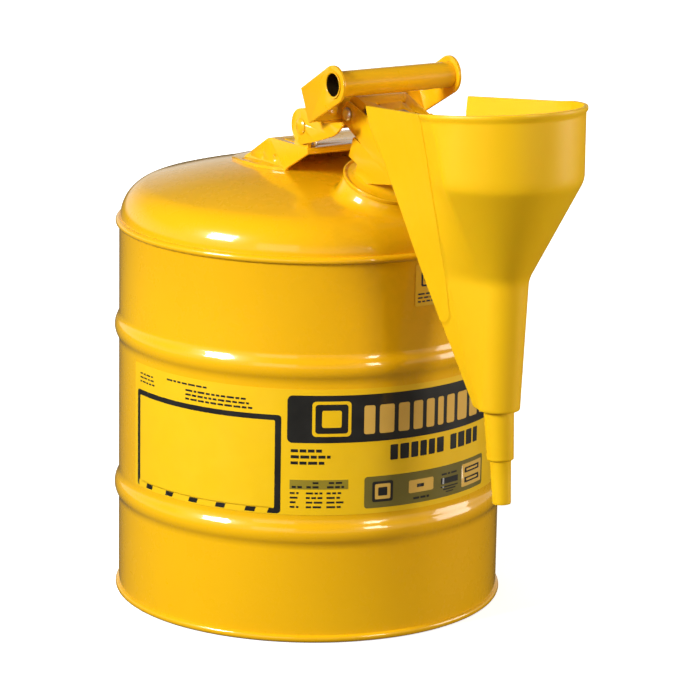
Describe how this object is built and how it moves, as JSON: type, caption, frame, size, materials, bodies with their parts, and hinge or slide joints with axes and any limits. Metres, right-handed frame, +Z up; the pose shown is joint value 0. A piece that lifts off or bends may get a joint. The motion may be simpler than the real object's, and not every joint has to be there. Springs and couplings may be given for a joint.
{
  "type": "safety gas can",
  "caption": "Round ribbed steel safety can with a leaning self-closing spout, a swinging carry handle and a plastic funnel hung on the spout side.",
  "frame": {"origin": "centre of the can's bottom rim, on the floor plane", "axes": "+Z up, +X towards the spout and funnel, +Y to the left of the spout direction"},
  "size_m": [0.447, 0.2984, 0.424],
  "materials": {
    "yellow_paint": "gloss powder coat",
    "bright_steel": "zinc plated",
    "label": "printed vinyl",
    "seal": "nitrile rubber",
    "funnel_plastic": "satin polyethylene"
  },
  "bodies": {
    "can": {"tank_wall": "yellow_paint", "tank_dome": "yellow_paint", "tank_base": "yellow_paint", "spout_collar": "yellow_paint", "spout_neck": "yellow_paint", "flame_arrester": "bright_steel", "arrester_ring": "bright_steel", "spout_yoke": "yellow_paint", "yoke_bolt": "bright_steel", "lid_hinge_pin": "bright_steel", "bridge_bracket": "yellow_paint", "handle_pivot_rivets": "bright_steel", "bridge_studs": "bright_steel", "body_label": "label", "approval_label": "label"},
    "handle": {"handle_bracket": "yellow_paint", "grip_tube": "yellow_paint", "handle_yoke": "yellow_paint", "yoke_rivets": "yellow_paint"},
    "lid": {"lid_lever": "yellow_paint", "lid_cap": "yellow_paint", "lid_gasket": "seal", "relief_stem": "bright_steel", "relief_spring": "bright_steel", "lid_spring": "bright_steel"},
    "funnel": {"funnel": "funnel_plastic"}
  },
  "joints": [
    {"name": "handle_hinge", "type": "hinge", "parent": "can", "child": "handle", "pos_m": [0.0445, 0, 0.3698], "axis": [0, -1, 0], "range_deg": [0, 115]},
    {"name": "lid_hinge", "type": "hinge", "parent": "can", "child": "lid", "pos_m": [0.0826, 0, 0.3834], "axis": [0, -1, 0], "range_deg": [0, 22]},
    {"name": "funnel_pull", "type": "slide", "parent": "can", "child": "funnel", "axis": [1, 0, 0], "range_m": [0, 0.12]}
  ]
}
